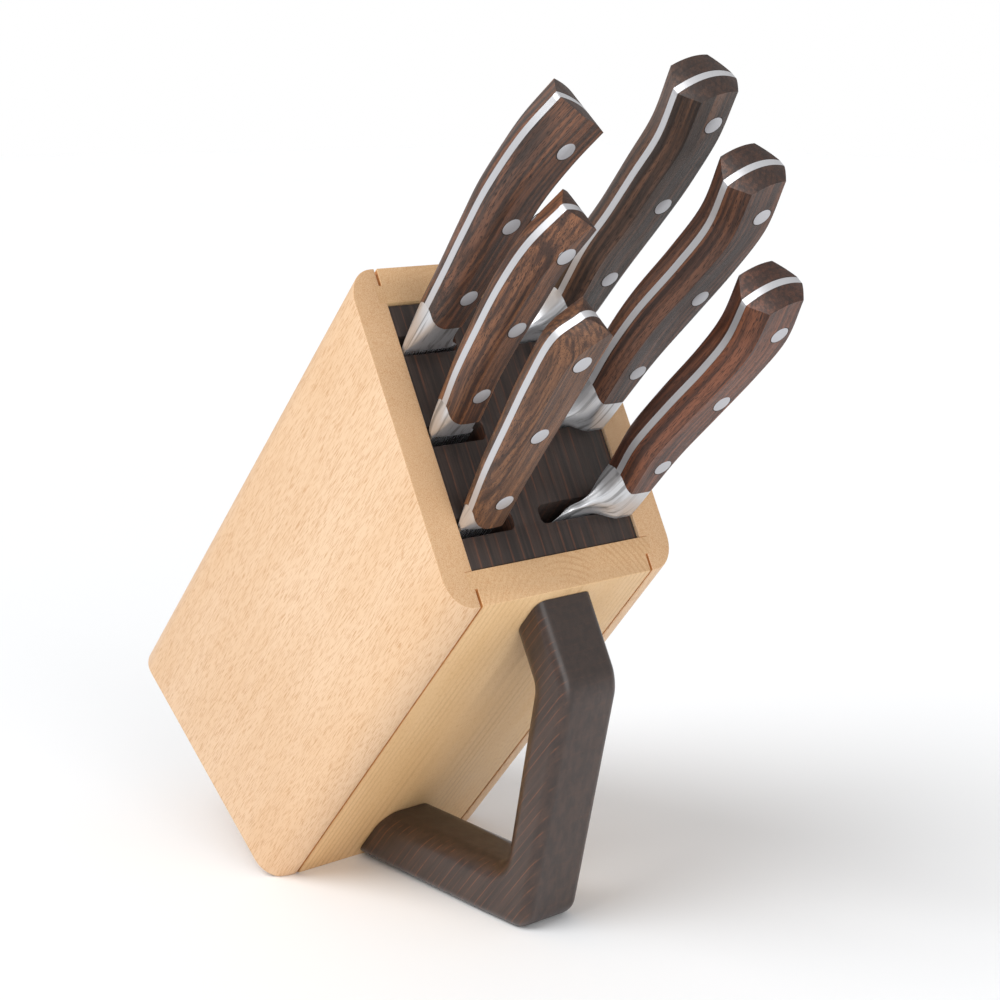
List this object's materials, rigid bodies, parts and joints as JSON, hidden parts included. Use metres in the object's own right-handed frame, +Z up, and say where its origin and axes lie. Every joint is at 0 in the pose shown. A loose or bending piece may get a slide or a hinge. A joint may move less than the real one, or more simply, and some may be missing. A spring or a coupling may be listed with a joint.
{
  "type": "knife block with knives",
  "caption": "Wooden knife block that leans on its looped carry handle, with a dark slotted insert and full-tang kitchen knives with riveted wooden handles that pull out of it.",
  "frame": {"origin": "middle of the narrow level flat along the bottom edge of the front panel, which the block stands on", "axes": "+X from that edge towards the foot of the carry handle, the way the block leans; +Y across the block to the side of the larger knives; +Z up"},
  "size_m": [0.2829, 0.119, 0.3352],
  "materials": {
    "beech": "satin oiled beech",
    "inner_beech": "plain sanded beech",
    "thermo_beech": "satin heat-treated dark beech",
    "walnut": "oiled dark walnut",
    "forged_steel": "fine satin ground steel",
    "rivet_steel": "flush polished steel",
    "screw_steel": "zinc plated"
  },
  "bodies": {
    "block": {"left_side_panel": "beech", "right_side_panel": "beech", "front_panel": "beech", "back_panel": "beech", "bottom_panel": "inner_beech", "blade_guide": "inner_beech", "slot_insert": "thermo_beech", "insert_batten_front": "inner_beech", "insert_batten_back": "inner_beech", "carry_handle": "thermo_beech", "handle_screw_upper": "screw_steel", "handle_screw_lower": "screw_steel", "handle_dowel_upper_left": "inner_beech", "handle_dowel_upper_right": "inner_beech", "handle_dowel_lower_left": "inner_beech", "handle_dowel_lower_right": "inner_beech"},
    "paring_knife": {"paring_knife_blade": "forged_steel", "paring_knife_scale_front": "walnut", "paring_knife_scale_back": "walnut", "paring_knife_rivet_1": "rivet_steel", "paring_knife_rivet_2": "rivet_steel", "paring_knife_rivet_3": "rivet_steel"},
    "utility_knife": {"utility_knife_blade": "forged_steel", "utility_knife_scale_front": "walnut", "utility_knife_scale_back": "walnut", "utility_knife_rivet_1": "rivet_steel", "utility_knife_rivet_2": "rivet_steel", "utility_knife_rivet_3": "rivet_steel"},
    "slicing_knife": {"slicing_knife_blade": "forged_steel", "slicing_knife_scale_front": "walnut", "slicing_knife_scale_back": "walnut", "slicing_knife_rivet_1": "rivet_steel", "slicing_knife_rivet_2": "rivet_steel", "slicing_knife_rivet_3": "rivet_steel"},
    "santoku_knife": {"santoku_knife_blade": "forged_steel", "santoku_knife_scale_front": "walnut", "santoku_knife_scale_back": "walnut", "santoku_knife_rivet_1": "rivet_steel", "santoku_knife_rivet_2": "rivet_steel", "santoku_knife_rivet_3": "rivet_steel"},
    "carving_knife": {"carving_knife_blade": "forged_steel", "carving_knife_scale_front": "walnut", "carving_knife_scale_back": "walnut", "carving_knife_rivet_1": "rivet_steel", "carving_knife_rivet_2": "rivet_steel", "carving_knife_rivet_3": "rivet_steel"},
    "chefs_knife": {"chefs_knife_blade": "forged_steel", "chefs_knife_scale_front": "walnut", "chefs_knife_scale_back": "walnut", "chefs_knife_rivet_1": "rivet_steel", "chefs_knife_rivet_2": "rivet_steel", "chefs_knife_rivet_3": "rivet_steel"}
  },
  "joints": [
    {"name": "paring_knife_draw", "type": "slide", "parent": "block", "child": "paring_knife", "axis": [0.6401, 0, 0.7683], "range_m": [0, 0.105]},
    {"name": "utility_knife_draw", "type": "slide", "parent": "block", "child": "utility_knife", "axis": [0.6401, 0, 0.7683], "range_m": [0, 0.14]},
    {"name": "slicing_knife_draw", "type": "slide", "parent": "block", "child": "slicing_knife", "axis": [0.6401, 0, 0.7683], "range_m": [0, 0.17]},
    {"name": "santoku_knife_draw", "type": "slide", "parent": "block", "child": "santoku_knife", "axis": [0.6401, 0, 0.7683], "range_m": [0, 0.19]},
    {"name": "carving_knife_draw", "type": "slide", "parent": "block", "child": "carving_knife", "axis": [0.6401, 0, 0.7683], "range_m": [0, 0.205]},
    {"name": "chefs_knife_draw", "type": "slide", "parent": "block", "child": "chefs_knife", "axis": [0.6401, 0, 0.7683], "range_m": [0, 0.22]}
  ]
}
